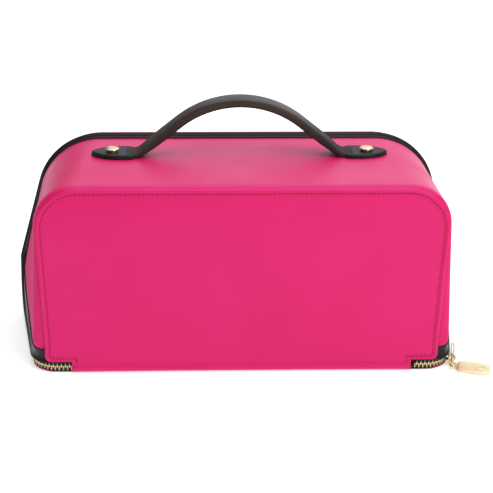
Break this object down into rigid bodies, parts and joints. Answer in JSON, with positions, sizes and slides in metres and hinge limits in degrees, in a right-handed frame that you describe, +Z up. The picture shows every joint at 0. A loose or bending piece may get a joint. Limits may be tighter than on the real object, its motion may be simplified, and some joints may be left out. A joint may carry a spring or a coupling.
{
  "type": "makeup train case",
  "caption": "Leather makeup case: a deep zip-round tray with a bridge handle, hinged along its front foot to a fold-flat base and back.",
  "frame": {"origin": "on the base's underside, in the middle plane of the case and half way between the front panel's inner face and the zip line at the back, give or take 1 mm", "axes": "+X across the case towards the zip slider's side, +Y from the front panel towards the back, +Z up"},
  "size_m": [0.2922, 0.1238, 0.157],
  "materials": {
    "pink_leather": "smooth coated leather, satin",
    "black_leather": "fine-grain leather, satin",
    "lining_cloth": "plain woven cloth, matt",
    "board": "plain fibre board",
    "zip_tape": "herringbone woven tape",
    "gold_metal": "polished pale gold plating",
    "elastic": "ribbed woven elastic"
  },
  "bodies": {
    "base": {"base_cover": "pink_leather", "base_board": "board", "base_lining": "lining_cloth", "base_teeth": "gold_metal", "bend_cover": "pink_leather", "bend_board": "zip_tape", "bend_lining": "lining_cloth", "bend_teeth": "gold_metal", "hinge_strip": "pink_leather", "zip_stops": "gold_metal"},
    "back": {"back_cover": "pink_leather", "back_board": "board", "back_lining": "lining_cloth", "back_teeth": "gold_metal", "back_strip": "black_leather", "brush_sleeve": "lining_cloth", "brush_band": "elastic"},
    "tray": {"front_panel": "pink_leather", "tray_board": "board", "tray_floor_lining": "lining_cloth", "gusset": "pink_leather", "tray_strip": "black_leather", "tray_tape": "zip_tape", "tray_teeth": "gold_metal", "tray_lining": "lining_cloth", "handle_root_left": "black_leather", "handle_root_right": "black_leather", "handle_tab_left": "black_leather", "handle_tab_right": "black_leather", "rivet_left": "gold_metal", "rivet_right": "gold_metal", "rivet_washers": "gold_metal"},
    "handle": {"handle_grip": "black_leather", "handle_core": "board"},
    "slider": {"slider_body": "gold_metal"},
    "pull_link": {"pull_link": "gold_metal"},
    "pull_tab": {"pull_tab": "gold_metal"}
  },
  "joints": [
    {"name": "tray_open", "type": "hinge", "parent": "base", "child": "tray", "pos_m": [0, -0.0569, 0.0003], "axis": [1, 0, 0], "range_deg": [0, 90], "deforming": ["hinge_strip"]},
    {"name": "back_fold", "type": "hinge", "parent": "base", "child": "back", "pos_m": [0, 0.0472, 0.0092], "axis": [-1, 0, 0], "range_deg": [0, 90], "deforming": ["bend_cover", "bend_board", "bend_lining", "bend_teeth"]},
    {"name": "handle_tilt", "type": "hinge", "parent": "tray", "child": "handle", "pos_m": [0, 0.007, 0.121], "axis": [1, 0, 0], "range_deg": [-50, 50], "stiffness_Nm_per_rad": 0.03, "deforming": ["handle_root_left", "handle_root_right"]},
    {"name": "zip_slide", "type": "slide", "parent": "base", "child": "slider", "axis": [0.1163, 0.9932, 0], "range_m": [0, 0.06]},
    {"name": "pull_swing", "type": "hinge", "parent": "slider", "child": "pull_link", "pos_m": [0.13107, -0.0444, 0.0034], "axis": [0, 0, 1], "range_deg": [0, 50]},
    {"name": "pull_tab_turn", "type": "hinge", "parent": "pull_link", "child": "pull_tab", "pos_m": [0.1299, -0.05433, 0.0034], "axis": [0, 0, 1], "range_deg": [-50, 30]}
  ]
}
